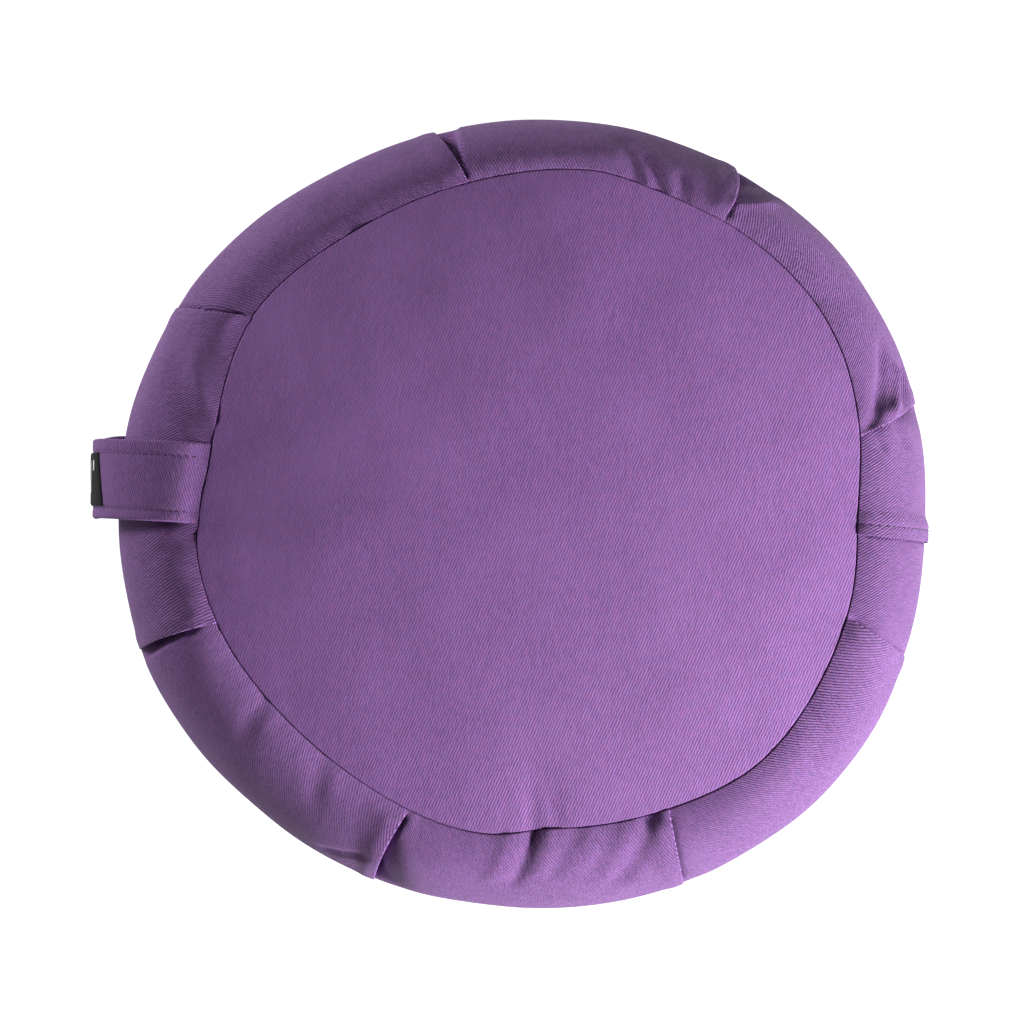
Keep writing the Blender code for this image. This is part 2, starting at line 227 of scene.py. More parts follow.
def away_from_pleats(points):
    """The points that lie clear of every pleat and dent."""
    angles = np.degrees(np.arctan2(points[:, 1], points[:, 0]))
    clear = np.ones(len(points), bool)
    for pleat in PLEATS:
        turn = (angles - pleat.angle - pleat.out + 180.0) % 360.0 - 180.0
        clear &= np.abs(turn) > PLEAT_REACH
    for angle, reach in DENTS:
        turn = (angles - angle + 180.0) % 360.0 - 180.0
        clear &= np.abs(turn) > reach
    return points[clear]


BAND_POINTS = node_points("side_band")
GIRTH_Z = float(BAND_POINTS[np.argmax(np.hypot(BAND_POINTS[:, 0], BAND_POINTS[:, 1])), 2])
TOP_SEAM_Z = float(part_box("top_panel")[0][2]) + CLOTH + SEAM_DROP
BOTTOM_SEAM_Z = float(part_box("bottom_panel")[1][2]) - CLOTH - SEAM_DROP
CROWN = float(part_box("top_panel")[1][2]) + 0.4 * MM - TOP_SEAM_Z
SEAM = Ring(node_points("top_panel"), 2.0)
GIRTH = Ring(away_from_pleats(BAND_POINTS[np.abs(BAND_POINTS[:, 2] - GIRTH_Z) < 1.5 * MM]), 3.0)


class Ripple:
    """A sum of a few waves of fixed directions: small unevenness, the same every run."""

    def __init__(self, seed, size, waves=9):
        draw = np.random.RandomState(seed)
        turn = draw.uniform(0.0, 2 * math.pi, waves)
        pace = 2 * math.pi / (size * draw.uniform(0.7, 1.6, waves))
        self.kx, self.ky = pace * np.cos(turn), pace * np.sin(turn)
        self.start = draw.uniform(0.0, 2 * math.pi, waves)

    def at(self, x, y):
        x, y = np.asarray(x)[..., None], np.asarray(y)[..., None]
        waves = np.sin(self.kx * x + self.ky * y + self.start)
        return waves.mean(axis=-1) * math.sqrt(2.0 / len(self.start)) * len(self.start) / 3.0


FILLING = Ripple(3, 42.0 * MM)
PINCH = Ripple(11, 9.0 * MM)
LUMPS = Ripple(21, 17.0 * MM)


# ---------------------------------------------------------------- the plain side surface
def side_at(angle, row):
    """Radius, height and outward normal of the plain side. Angles here are radians."""
    upper = row <= 0.5
    inner = SEAM.at(angle) * np.where(upper, 1.0, BOTTOM_RIM_SHARE)
    bulge = GIRTH.at(angle) - inner
    rise = np.where(upper, TOP_SEAM_Z - GIRTH_Z, GIRTH_Z - BOTTOM_SEAM_Z)
    phi = math.pi * row
    radius = inner + bulge * np.sin(phi)
    height = GIRTH_Z + rise * np.cos(phi)
    out, up = rise * np.sin(phi), bulge * np.cos(phi)
    size = np.hypot(out, up)
    return radius, height, out / size, up / size


def fall_along(rows):
    """Cloth length from the top seam down to each row, on the mean section."""
    radius, height, _, _ = side_at(np.full(len(rows), math.pi / 2), rows)
    steps = np.hypot(np.diff(radius), np.diff(height))
    return np.concatenate([[0.0], np.cumsum(steps)])


def side_rows():
    """Rows of the band, close together where it turns into the seams."""
    fine = np.linspace(0.0, 1.0, 2001)
    fall = fall_along(fine)
    lip = np.array([0.0, 0.06, 0.2, 0.42, 0.75, 1.2, 1.9, 2.8, 3.9, 5.2]) * MM
    middle = np.linspace(6.6 * MM, fall[-1] - 6.6 * MM, 80)
    places = np.concatenate([lip, middle, fall[-1] - lip[::-1]])
    return np.interp(places, fall, fine)


ROWS = side_rows()
FALL = fall_along(ROWS)
FROM_SEAM = np.minimum(FALL, FALL[-1] - FALL)
ROW_NEAR = np.minimum(ROWS, 1.0 - ROWS)
PLAN = np.sin(math.pi * ROWS)


def crease_depth(angle, row):
    """How far all creases together push the side in. Both arrays have the same shape."""
    near = np.minimum(row, 1.0 - row)
    fall = np.interp(near, ROWS, FALL)
    total = np.zeros_like(angle)
    for crease in CREASES:
        radius = SEAM.at(math.radians(crease.angle_a)) * 1.15
        turn = np.degrees(angle) - crease.angle_a
        x = np.radians((turn + 180.0) % 360.0 - 180.0) * radius
        run_x = math.radians(crease.angle_b - crease.angle_a) * radius
        y0, y1 = np.interp([crease.row_a, crease.row_b], ROWS, FALL)
        length = math.hypot(run_x, y1 - y0)
        ux, uy = run_x / length, (y1 - y0) / length
        along = x * ux + (fall - y0) * uy
        beyond = np.maximum(0.0, np.maximum(-along, along - length))
        across = x * uy - (fall - y0) * ux
        width = crease.width * MM
        reach = np.exp(-(beyond / (1.4 * width)) ** 2)
        total += crease.depth * MM * reach * np.exp(-(across / width) ** 2)
    return total


# ---------------------------------------------------------------- the pleated band
Column = namedtuple("Column", "angle rise cloth")  # three arrays, one value for each row


class Segment:
    """The stretch of band between two pleats. Its middle line is straight cloth."""

    def __init__(self, before, after, cloth):
        width = (after.angle - before.angle) % 360.0
        self.middle = math.radians(before.angle + width / 2)
        self.cloth = cloth


def segments():
    """One segment after each pleat, with the length of cloth up to its middle."""
    made = []
    cloth = 0.0
    for i, pleat in enumerate(PLEATS):
        after = PLEATS[(i + 1) % len(PLEATS)]
        segment = Segment(pleat, after, 0.0)
        if made:
            turn = (segment.middle - made[-1].middle) % (2 * math.pi)
            cloth += turn * float(GIRTH.at(math.radians(pleat.angle))) + 2 * FOLD_AT_GIRTH
        segment.cloth = cloth
        made.append(segment)
    return made


def fold_edge(pleat):
    """Angle of the folded edge in every row."""
    swing = PLAN * (4 * pleat.mid - pleat.out) + PLAN ** 2 * (2 * pleat.out - 4 * pleat.mid)
    return np.radians(pleat.angle + swing)


def pocket(pleat):
    """Width and depth of the pocket beside a pleat in every row."""
    opened = smooth((FROM_SEAM - pleat.start * MM) / (13 * MM))
    width = pleat.gap * MM * (0.12 + 0.88 * PLAN ** 1.3)
    closed = smooth((ROW_NEAR - pleat.peak) / (0.5 - pleat.peak))
    return width, pleat.depth * MM * opened * (1.0 - closed)


def pleat_columns(pleat, behind, ahead):
    """The band's columns across one pleat, anticlockwise."""
    edge = fold_edge(pleat)
    radius = side_at(edge, ROWS)[0]
    turn = (ahead.middle - behind.middle) % (2 * math.pi)
    fold = FOLD_AT_GIRTH + turn * (GIRTH.at(edge) - radius) / 2
    width, depth = pocket(pleat)
    raised = 0.5 + 1.5 * smooth(FROM_SEAM / (7 * MM))
    top = LAYER * raised * (1.0 - 0.8 * smooth((PLAN - 0.6) / 0.38))
    upper = ahead if pleat.lap > 0 else behind
    home = (edge - upper.middle + math.pi) % (2 * math.pi) - math.pi
    edge_cloth = upper.cloth + home * radius

    path = []  # (place beyond the edge, rise, cloth beyond the edge)
    slit = pleat.slit * MM * smooth(FROM_SEAM / (5 * MM)) * smooth((0.49 - ROW_NEAR) / 0.10)
    for step in UNDER_STEPS * MM:
        share = np.clip(step / (width + fold), 0.0, 1.0)
        drop = depth * (1.0 - share ** pleat.wall) ** 2
        drop = drop + slit * np.exp(-(np.maximum(step - fold, 0.0) / SLIT_REACH) ** 2)
        path.append((step - fold, -drop, fold + step))
    low, high = -depth - slit + 0.25 * LAYER, top - 2 * EDGE_RADIUS
    for share in RETURN_SHARES:
        path.append((-fold * share, low + (high - low) * (1 - share), fold * share))
    for degrees in ROUND_EDGE:
        way = math.radians(degrees)
        place = EDGE_RADIUS * (math.cos(way) - 1.0)
        rise = top - EDGE_RADIUS + EDGE_RADIUS * math.sin(way)
        path.append((place + 0 * top, rise, 0 * top))
    for step in UPPER_STEPS:
        back = step * MM
        rise = top * (1.0 - smooth(back / (fold + 7 * MM)))
        puff = PLEAT_PUFF * np.exp(-((step - 5.0) / 3.0) ** 2) * smooth(FROM_SEAM / (6 * MM))
        path.append((-back - EDGE_RADIUS + 0 * top, rise + puff, -back + 0 * top))

    made = [Column(edge - pleat.lap * place / radius, rise, edge_cloth - pleat.lap * cloth)
            for place, rise, cloth in path]
    return made if pleat.lap > 0 else made[::-1]


def lap_rise(back):
    """Height of the lapped join over the plain side, this far back from its folded edge."""
    sewn = math.exp(-((back - LAP_STITCH_LINE) / STITCH_TROUGH) ** 2)
    spread = 1.0 - float(smooth((back - LAP_FLAT) / (LAP_SPREAD - LAP_FLAT)))
    near_seam = 0.4 + 0.6 * smooth(FROM_SEAM / (4 * MM))
    return (LAP_RISE * spread - LAP_SEWN_DEPTH * sewn) * near_seam


def lap_columns(segment):
    """The band's columns across its lapped join, anticlockwise."""
    top = lap_rise(0.0)
    slit = LAP_SLIT * smooth(FROM_SEAM / (5 * MM)) * smooth((0.49 - ROW_NEAR) / 0.10)
    path = [(step * MM, -slit * math.exp(-(max(step, 0.0) / LAP_SLIT_REACH) ** 2))
            for step in LAP_UNDER_STEPS]
    path += [(LAP_UNDER_STEPS[-1] * MM, 0.45 * top - 0.1 * MM - slit)]
    for degrees in ROUND_EDGE:
        way = math.radians(degrees)
        place = LAP_EDGE_RADIUS * (math.cos(way) - 1.0)
        path.append((place, top - LAP_EDGE_RADIUS + LAP_EDGE_RADIUS * math.sin(way)))
    path += [(-step * MM, lap_rise(step * MM)) for step in LAP_UPPER_STEPS]
    edge = math.radians(LAP_ANGLE)
    radius = side_at(np.full(len(ROWS), edge), ROWS)[0]
    middle = (segment.middle + math.pi) % (2 * math.pi) - math.pi
    made = []
    for place, rise in path:
        angle = edge - place / radius
        cloth = segment.cloth + (angle - middle) * radius
        made.append(Column(angle, rise, cloth))
    return made


def between(last, after, count, whole):
    """Plain columns that fill the room between two given ones."""
    room = (after.angle - last.angle) % (2 * math.pi)
    cloth_room = after.cloth - last.cloth + whole
    return [Column(last.angle + room * n / count, 0 * room, last.cloth + cloth_room * n / count)
            for n in range(1, count)]


def band_columns():
    """All columns of the band, anticlockwise, and the whole length of its cloth."""
    parts = segments()
    count = len(PLEATS)
    turn = (parts[0].middle - parts[-1].middle) % (2 * math.pi)
    whole = parts[-1].cloth + 2 * FOLD_AT_GIRTH
    whole += turn * float(GIRTH.at(math.radians(PLEATS[0].angle)))
    groups = []
    for i in range(count):
        turned_back = whole if i == 0 else 0.0
        behind = Segment(PLEATS[i - 1], PLEATS[i], parts[i - 1].cloth - turned_back)
        groups.append(pleat_columns(PLEATS[i], behind, parts[i]))
    columns = []
    for i, group in enumerate(groups):
        after = groups[(i + 1) % count][0]
        if i == count - 1:
            lap = lap_columns(parts[i])
            columns += group + between(group[-1], lap[0], 22, 0.0) + lap
            columns += between(lap[-1], after, 14, whole)
        else:
            columns += group + between(group[-1], after, 40, 0.0)
    return columns, whole


def band_points(columns):
    """Points (row, column, xyz) of the band's outer face."""
    angle = np.stack([c.angle for c in columns], axis=1)
    rise = np.stack([c.rise for c in columns], axis=1)
    row = np.repeat(ROWS[:, None], len(columns), axis=1)
    radius, height, out, up = side_at(angle, row)
    near = np.repeat(FROM_SEAM[:, None], len(columns), axis=1)
    sway = angle * MEAN_RADIUS
    rise = rise - crease_depth(angle, row)
    rise += FILLING_LUMP * FILLING.at(sway, near) * smooth(near / (12 * MM))
    rise += 0.30 * MM * PINCH.at(sway, near * 0.3) * np.exp(-(near / (7 * MM)) ** 2)
    turned = np.clip(1.0 - near / BAND_LIP, 0.0, 1.0)
    tuck = GROOVE * (1.0 - np.sqrt(1.0 - turned ** 2))
    side = np.where(row <= 0.5, 1.0, -1.0)
    radius = radius + rise * out + SEAM_GAP - BAND_INSET * smooth(near / (25 * MM))
    height = height + rise * up - side * tuck
    return np.stack([radius * np.cos(angle), radius * np.sin(angle), height], axis=2)


def panel_height(share, angle, at_bottom):
    """Height of a panel's outer face."""
    rim = SEAM.at(angle) * (BOTTOM_RIM_SHARE if at_bottom else 1.0)
    inside = rim * (1.0 - share)
    turned = np.clip(1.0 - inside / PANEL_LIP, 0.0, 1.0)
    tuck = GROOVE * (1.0 - np.sqrt(1.0 - turned ** 2))
    if at_bottom:
        heel = np.clip((share - FLAT_SHARE) / (1.0 - FLAT_SHARE), 0.0, 1.0)
        return BOTTOM_SEAM_Z * heel ** HEEL_POWER + tuck
    return TOP_SEAM_Z + CROWN * (1.0 - share ** CROWN_POWER) - tuck


def ring_points(angles, share, at_bottom, inwards, spare=0.0):
    rim = SEAM.at(angles) * (BOTTOM_RIM_SHARE if at_bottom else 1.0)
    radius = rim * share + spare
    height = panel_height(np.full_like(angles, share), angles, at_bottom)
    height += inwards if at_bottom else -inwards
    return np.stack([radius * np.cos(angles), radius * np.sin(angles), height], axis=1)


# ---------------------------------------------------------------- mesh helpers
def grid_mesh(name, rings, cloth, wrap=None):
    """A closed mesh over rings of points, with cloth coordinates in metres as its UV map.

    rings and cloth are arrays (ring, place, xyz or uv). wrap is added to the cloth's first
    coordinate where the last place meets the first one again.
    """
    count, size = rings.shape[:2]
    verts = rings.reshape(-1, 3)
    i, k = np.meshgrid(np.arange(count - 1), np.arange(size), indexing="ij")
    after = (k + 1) % size
    corners = np.stack([i * size + k, (i + 1) * size + k, (i + 1) * size + after,
                        i * size + after], axis=2).reshape(-1, 4)
    flat = cloth.reshape(-1, 2)
    uvs = flat[corners]
    if wrap is not None:
        last = (k == size - 1).reshape(-1)
        uvs[last, 2:, 0] += wrap
    faces = [tuple(c) for c in corners.tolist()]
    loops = uvs.reshape(-1, 2)
    first = tuple(range(size))
    final = tuple(reversed(range((count - 1) * size, count * size)))
    faces += [first, final]
    loops = np.concatenate([loops, flat[list(first)], flat[list(final)]])
    return finished_mesh(name, verts, faces, loops)


def finished_mesh(name, verts, faces, loops=None):
    mesh = bpy.data.meshes.new(name)
    mesh.from_pydata([tuple(v) for v in verts.tolist()], [], faces)
    if loops is not None:
        layer = mesh.uv_layers.new(name="cloth")
        layer.data.foreach_set("uv", np.ascontiguousarray(loops, np.float32).reshape(-1))
    mesh.validate()
    mesh.shade_smooth()
    obj = bpy.data.objects.new(name, mesh)
    bpy.context.scene.collection.objects.link(obj)
    return obj


# ---------------------------------------------------------------- materials
class Nodes:
    """A short hand for building a node tree."""

    def __init__(self, name):
        self.material = bpy.data.materials.new(name)
        self.material.use_nodes = True
        self.tree = self.material.node_tree
        self.shader = self.tree.nodes["Principled BSDF"]

    def add(self, kind, **settings):
        node = self.tree.nodes.new(kind)
        for key, value in settings.items():
            setattr(node, key, value)
        return node

    def link(self, source, target):
        self.tree.links.new(source, target)

    def put(self, value, socket):
        if isinstance(value, (int, float)):
            socket.default_value = value
        else:
            self.link(value, socket)

    def math(self, operation, a, b=0.0, c=0.0):
        node = self.add("ShaderNodeMath", operation=operation)
        for value, socket in zip((a, b, c), node.inputs):
            self.put(value, socket)
        return node.outputs[0]

    def mix(self, share, a, b):
        node = self.add("ShaderNodeMix", data_type="RGBA")
        self.put(share, node.inputs["Factor"])
        for value, socket in ((a, node.inputs[6]), (b, node.inputs[7])):
            if isinstance(value, tuple):
                socket.default_value = (*value, 1.0)
            else:
                self.link(value, socket)
        return node.outputs[2]

    def noise(self, vector, scale, detail=2.0, rough=0.5):
        node = self.add("ShaderNodeTexNoise")
        node.inputs["Scale"].default_value = scale
        node.inputs["Detail"].default_value = detail
        node.inputs["Roughness"].default_value = rough
        self.link(vector, node.inputs["Vector"])
        return node.outputs[0]

    def ramp(self, value, low, high):
        node = self.add("ShaderNodeMapRange", interpolation_type="SMOOTHSTEP")
        self.put(value, node.inputs["Value"])
        node.inputs["From Min"].default_value = low
        node.inputs["From Max"].default_value = high
        return node.outputs[0]


YARN = 0.347  # spacing of the warp yarns, in millimetres
PICK = 0.80  # spacing of the weft
REPEAT = 4  # a warp yarn passes over three wefts and under one


def twill_material(name, base, lift, yarn_tone_and_shade):
    """A twill whose warp floats climb in ribs. It reads the cloth's own coordinates.

    The last argument is how much darker the sunk yarns are, from 0 to 1. This is partly the
    yarns' own tone and partly painted shade in the weave's hollows, with a painted highlight on
    the raised floats.
    """
    n = Nodes(name)
    uv = n.add("ShaderNodeUVMap", uv_map="cloth").outputs[0]
    sep = n.add("ShaderNodeSeparateXYZ")
    n.link(uv, sep.inputs[0])
    drift = n.math("SUBTRACT", n.noise(uv, 45.0, 2.0), 0.5)
    shake = n.math("SUBTRACT", n.noise(uv, 520.0, 2.0), 0.5)
    u = n.math("DIVIDE", sep.outputs[0], YARN * MM)
    u = n.math("ADD", u, n.math("MULTIPLY", drift, 2.2))
    u = n.math("ADD", u, n.math("MULTIPLY", shake, 1.5))
    v = n.math("DIVIDE", sep.outputs[1], PICK * MM)
    v = n.math("ADD", v, n.math("MULTIPLY", shake, -0.8))
    yarn = n.math("FLOOR", u)
    in_yarn = n.math("SUBTRACT", n.math("FRACT", u), 0.5)
    body = n.math("SUBTRACT", 1.0, n.math("MULTIPLY", n.math("POWER", in_yarn, 2.0), 3.4))
    steps = n.math("DIVIDE", n.math("SUBTRACT", v, yarn), float(REPEAT))
    climb = n.math("FRACT", steps)
    start = n.ramp(climb, 0.0, 0.18)
    end = n.math("SUBTRACT", 1.0, n.ramp(climb, 0.66, 0.90))
    over = n.math("MULTIPLY", start, end)
    weave = n.math("MULTIPLY", body, n.math("ADD", n.math("MULTIPLY", over, 0.75), 0.25))
    place = n.math("DIVIDE", n.math("SUBTRACT", v, u), float(REPEAT))
    rib = n.math("SINE", n.math("MULTIPLY", n.math("SUBTRACT", place, 0.18), 2 * math.pi))
    rib = n.math("MULTIPLY_ADD", rib, 0.5, 0.5)

    cell = n.add("ShaderNodeCombineXYZ")
    n.link(yarn, cell.inputs[0])
    n.link(n.math("FLOOR", steps), cell.inputs[1])
    own = n.add("ShaderNodeTexWhiteNoise", noise_dimensions="2D")
    n.link(cell.outputs[0], own.inputs["Vector"])
    float_tone = own.outputs["Value"]
    fibre = n.noise(uv, 2300.0, 3.0, 0.6)
    height = n.math("ADD", n.math("MULTIPLY", weave, 0.40), n.math("MULTIPLY", rib, 0.32))
    height = n.math("ADD", height, n.math("MULTIPLY", float_tone, 0.28))

    thread = n.noise(uv, 300.0, 2.0)
    patch = n.noise(uv, 20.0, 3.0)
    # Sunk yarns are painted darker and raised floats lighter by the relief height. This is
    # partly the yarns' own tone, partly painted shade and painted highlight.
    deep = tuple(c * (1.0 - yarn_tone_and_shade) for c in base)
    pale = tuple(min(1.0, c * (1.0 + 0.55 * yarn_tone_and_shade) + 0.004) for c in base)
    colour = n.mix(n.ramp(height, 0.10, 0.90), deep, pale)
    red = (base[0] * 1.22, base[1] * 0.98, base[2] * 0.94)
    blue = (base[0] * 0.80, base[1] * 0.98, base[2] * 1.06)
    colour = n.mix(n.math("MULTIPLY", n.ramp(thread, 0.50, 0.70), 0.40), colour, red)
    colour = n.mix(n.math("MULTIPLY", n.ramp(thread, 0.50, 0.32), 0.35), colour, blue)
    fleck = n.math("MULTIPLY", n.ramp(fibre, 0.56, 0.76), n.ramp(float_tone, 0.3, 1.0))
    lilac = tuple(min(1.0, c * 1.5 + 0.10) for c in base)
    colour = n.mix(n.math("MULTIPLY", fleck, 0.60), colour, lilac)
    worn = tuple(min(1.0, c * 1.15 + 0.015) for c in base)
    colour = n.mix(n.math("MULTIPLY", n.ramp(patch, 0.42, 0.70), 0.25), colour, worn)
    n.link(colour, n.shader.inputs["Base Color"])
    n.shader.inputs["Roughness"].default_value = 0.70
    n.shader.inputs["Specular IOR Level"].default_value = 0.18
    n.shader.inputs["Sheen Weight"].default_value = 0.07
    n.shader.inputs["Sheen Roughness"].default_value = 0.45
    n.shader.inputs["Sheen Tint"].default_value = (0.85, 0.70, 0.92, 1.0)

    relief = n.math("ADD", height, n.math("MULTIPLY", fibre, 0.30))
    bump = n.add("ShaderNodeBump")
    bump.inputs["Strength"].default_value = 1.0
    bump.inputs["Distance"].default_value = lift
    n.link(relief, bump.inputs["Height"])
    n.link(bump.outputs[0], n.shader.inputs["Normal"])
    return n.material


def thread_material():
    n = Nodes("purple_thread")
    place = n.add("ShaderNodeTexCoord")
    twist = n.add("ShaderNodeTexWave", wave_type="BANDS", bands_direction="DIAGONAL")
    twist.inputs["Scale"].default_value = 900.0
    n.link(place.outputs["Object"], twist.inputs["Vector"])
    colour = n.mix(twist.outputs["Fac"], (0.030, 0.014, 0.046), (0.085, 0.042, 0.12))
    n.link(colour, n.shader.inputs["Base Color"])
    n.shader.inputs["Roughness"].default_value = 0.6
    bump = n.add("ShaderNodeBump")
    bump.inputs["Distance"].default_value = 0.08 * MM
    n.link(twist.outputs["Fac"], bump.inputs["Height"])
    n.link(bump.outputs[0], n.shader.inputs["Normal"])
    return n.material


def label_material():
    """Black damask label: fine crossing threads."""
    n = Nodes("black_woven_label")
    uv = n.add("ShaderNodeUVMap", uv_map="cloth")
    sep = n.add("ShaderNodeSeparateXYZ")
    n.link(uv.outputs[0], sep.inputs[0])
    pace = 2 * math.pi / (0.36 * MM)
    along = n.math("SINE", n.math("MULTIPLY", sep.outputs[0], pace))
    across = n.math("SINE", n.math("MULTIPLY", sep.outputs[1], pace * 1.3))
    weave = n.math("MULTIPLY_ADD", n.math("MULTIPLY", along, across), 0.5, 0.5)
    dust = n.noise(uv.outputs[0], 900.0, 2.0)
    worn = n.math("MULTIPLY", weave, dust)
    colour = n.mix(worn, (0.003, 0.003, 0.0035), (0.018, 0.017, 0.018))
    n.link(colour, n.shader.inputs["Base Color"])
    n.shader.inputs["Roughness"].default_value = 0.8
    n.shader.inputs["Specular IOR Level"].default_value = 0.15
    bump = n.add("ShaderNodeBump")
    bump.inputs["Distance"].default_value = 0.06 * MM
    n.link(weave, bump.inputs["Height"])
    n.link(bump.outputs[0], n.shader.inputs["Normal"])
    return n.material


def pale_thread_material():
    n = Nodes("pale_label_thread")
    place = n.add("ShaderNodeTexCoord")
    grain = n.noise(place.outputs["Object"], 3000.0, 2.0)
    colour = n.mix(grain, (0.55, 0.54, 0.52), (0.82, 0.81, 0.79))
    n.link(colour, n.shader.inputs["Base Color"])
    n.shader.inputs["Roughness"].default_value = 0.7
    return n.material


# ---------------------------------------------------------------- the cushion's pieces
def make_band(material):
    columns, whole = band_columns()
    side = band_points(columns)
    under = CLOTH + BAND_END_GAP
    top_angles, bottom_angles = columns_angles(columns, 0), columns_angles(columns, -1)
    shares = (0.2, 0.45, 0.7, 0.88, 0.97, 1.0)
    top = [ring_points(top_angles, s, False, under, SEAM_GAP * (s == 1.0)) for s in shares]
    bottom = [ring_points(bottom_angles, s, True, under, SEAM_GAP * (s == 1.0))
              for s in reversed(shares)]
    rings = np.concatenate([np.stack(top), side, np.stack(bottom)])
    cloth = np.zeros((len(rings), len(columns), 2))
    cloth[:, :, 0] = columns_cloth(columns, len(shares))
    falls = np.concatenate([np.full(len(shares), 0.0), FALL, np.full(len(shares), FALL[-1])])
    cloth[:, :, 1] = BAND_PICKS * falls[:, None]
    band = grid_mesh("band_cloth", rings[:, ::-1], cloth[:, ::-1], wrap=-whole)
    band.data.materials.append(material)
    return band


def columns_angles(columns, row):
    return np.array([c.angle[row] for c in columns])


def columns_cloth(columns, spare):
    """Cloth coordinate of every column in every ring, the seats' rings included."""
    body = np.stack([c.cloth for c in columns], axis=1)
    return np.concatenate([np.repeat(body[:1], spare, axis=0), body,
                           np.repeat(body[-1:], spare, axis=0)])


# A small pinch in the top panel. share is how far out it lies, from 0 to 1 at the seam.
Pinch = namedtuple("Pinch", "angle share length width depth")
PANEL_DENTS = (
    Pinch(172.0, 0.955, 14.0, 4.5, 0.7),
    Pinch(167.0, 0.945, 18.0, 5.5, 0.6),
    Pinch(187.0, 0.97, 10.0, 4.0, 0.6),
    Pinch(276.5, 0.958, 13.0, 4.0, 1.0),
    Pinch(280.5, 0.96, 14.0, 4.0, 0.7),
)


def panel_dents(x, y):
    total = np.zeros_like(x)
    for angle, share, length, width, depth in PANEL_DENTS:
        way = math.radians(angle)
        radius = float(SEAM.at(way)) * share
        dx, dy = x - radius * math.cos(way), y - radius * math.sin(way)
        along = (dx * math.cos(way) + dy * math.sin(way)) / (length * MM)
        across = (-dx * math.sin(way) + dy * math.cos(way)) / (width * MM)
        total += depth * MM * np.exp(-along ** 2 - across ** 2)
    return total


def make_panel(name, at_bottom, material):
    angles = np.linspace(-math.pi, math.pi, 420, endpoint=False)
    rim = float(np.mean(SEAM.radii))
    lip = np.array([0.0, 0.05, 0.16, 0.34, 0.62, 1.1, 1.8, 2.7, 3.8, 5.1]) * MM / rim
    shares = np.concatenate([np.linspace(0.012, 1.0 - 7 * MM / rim, 62), 1.0 - lip[::-1]])
    if at_bottom:
        shares = np.append(shares[::2], 1.0)
    outer = np.stack([ring_points(angles, s, at_bottom, 0.0) for s in shares])
    x, y = outer[:, :, 0], outer[:, :, 1]
    calm = 1.0 - smooth((shares - 0.9) / 0.1)[:, None]
    if not at_bottom:
        outer[:, :, 2] += 0.35 * MM * FILLING.at(x, y) * calm
        outer[:, :, 2] += 0.10 * MM * LUMPS.at(x, y) * calm
        outer[:, :, 2] -= panel_dents(x, y)
        edge = np.exp(-((1.0 - shares) * rim / (6 * MM)) ** 2)[:, None]
        sway = np.arctan2(y, x) * MEAN_RADIUS
        outer[:, :, 2] += 0.22 * MM * PINCH.at(sway, 0 * sway) * edge
    inner = np.stack([ring_points(angles, s, at_bottom, CLOTH) for s in shares[::-1][::3]])
    rings = np.concatenate([outer, inner])
    cos, sin = math.cos(TURN), math.sin(TURN)
    cloth = np.stack([rings[:, :, 0] * cos + rings[:, :, 1] * sin,
                      rings[:, :, 1] * cos - rings[:, :, 0] * sin], axis=2)
    if at_bottom:
        rings, cloth = rings[::-1], cloth[::-1]
    panel = grid_mesh(name, rings, cloth)
    panel.data.materials.append(material)
    return panel


# ---------------------------------------------------------------- strap, label, stitches
STRAP_REACH = -float(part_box("handle_strap")[0][0]) - STRAP_THICKNESS / 2


def sway_at(along):
    places = [s.along for s in STRAP_SWAY]
    i = min(max(k for k in range(len(places)) if places[k] <= along), len(places) - 2)
    a, b = STRAP_SWAY[i], STRAP_SWAY[i + 1]
    share = float(smooth((along - a.along) / (b.along - a.along)))
    return (a.aside + (b.aside - a.aside) * share) * MM


def strap_point(along, across, lift, dip=1.0):
    """A point lift over the strap's middle surface. across is in metres from its middle."""
    aside = sway_at(along) + across
    phi = math.pi * along
    upper = along <= 0.5
    share = 1.0 if upper else BOTTOM_RIM_SHARE
    middle = float(SEAM.at(math.pi)) * share
    place = math.asin(-aside / middle)
    local = float(SEAM.at(math.pi + place)) * share * math.cos(place)
    at_end = abs(math.cos(phi)) ** 3
    start = middle + (local + 0.7 * MM - middle) * at_end
    rise = (TOP_SEAM_Z - GIRTH_Z if upper else GIRTH_Z - BOTTOM_SEAM_Z) + 1.6 * MM
    bulge = STRAP_REACH - start
    out = Vector((rise * math.sin(phi), bulge * math.cos(phi))).normalized()
    radius = start + bulge * math.sin(phi) + lift * out.x
    radius += STRAP_TWIST * across * math.sin(phi) ** 2
    height = GIRTH_Z + rise * math.cos(phi) + lift * out.y
    ended = math.exp(-(bulge * math.sin(phi) / (5.5 * MM)) ** 2)
    height -= (1.0 if upper else -1.0) * STRAP_END_DIP * ended * dip
    return Vector((-radius, aside, height))


def strap_face(across, along_length):
    """Half the strap's thickness at this place across it: rolled edges and sewn lines."""
    half = STRAP_THICKNESS / 2
    edge = abs(across) / (STRAP_WIDTH / 2)
    rolled = math.sqrt(max(0.0, 1.0 - max(0.0, (edge - 0.93) / 0.07) ** 2))
    sewn = 0.0
    for line in STRAP_STITCH_LINES:
        tug = 0.82 + 0.18 * math.cos(2 * math.pi * along_length / STITCH_PITCH)
        sewn += tug * math.exp(-((across - line) / STITCH_TROUGH) ** 2)
    puff = STRAP_PUFF * math.cos(math.pi / 2 * min(1.0, edge / 0.66)) if edge < 0.66 else 0.0
    return (half - STRAP_SEWN_DEPTH * sewn + puff) * max(rolled, 0.08)


def strap_places():
    inner = np.linspace(-0.92, 0.92, 47)
    rim = np.array([0.945, 0.965, 0.982, 0.993, 1.0])
    return np.concatenate([-rim[::-1], inner, rim]) * STRAP_WIDTH / 2


def strap_length(steps=200):
    points = [strap_point(i / steps, 0.0, 0.0) for i in range(steps + 1)]
    runs = [(b - a).length for a, b in zip(points, points[1:])]
    return np.concatenate([[0.0], np.cumsum(runs)])


STRAP_RUN = strap_length()


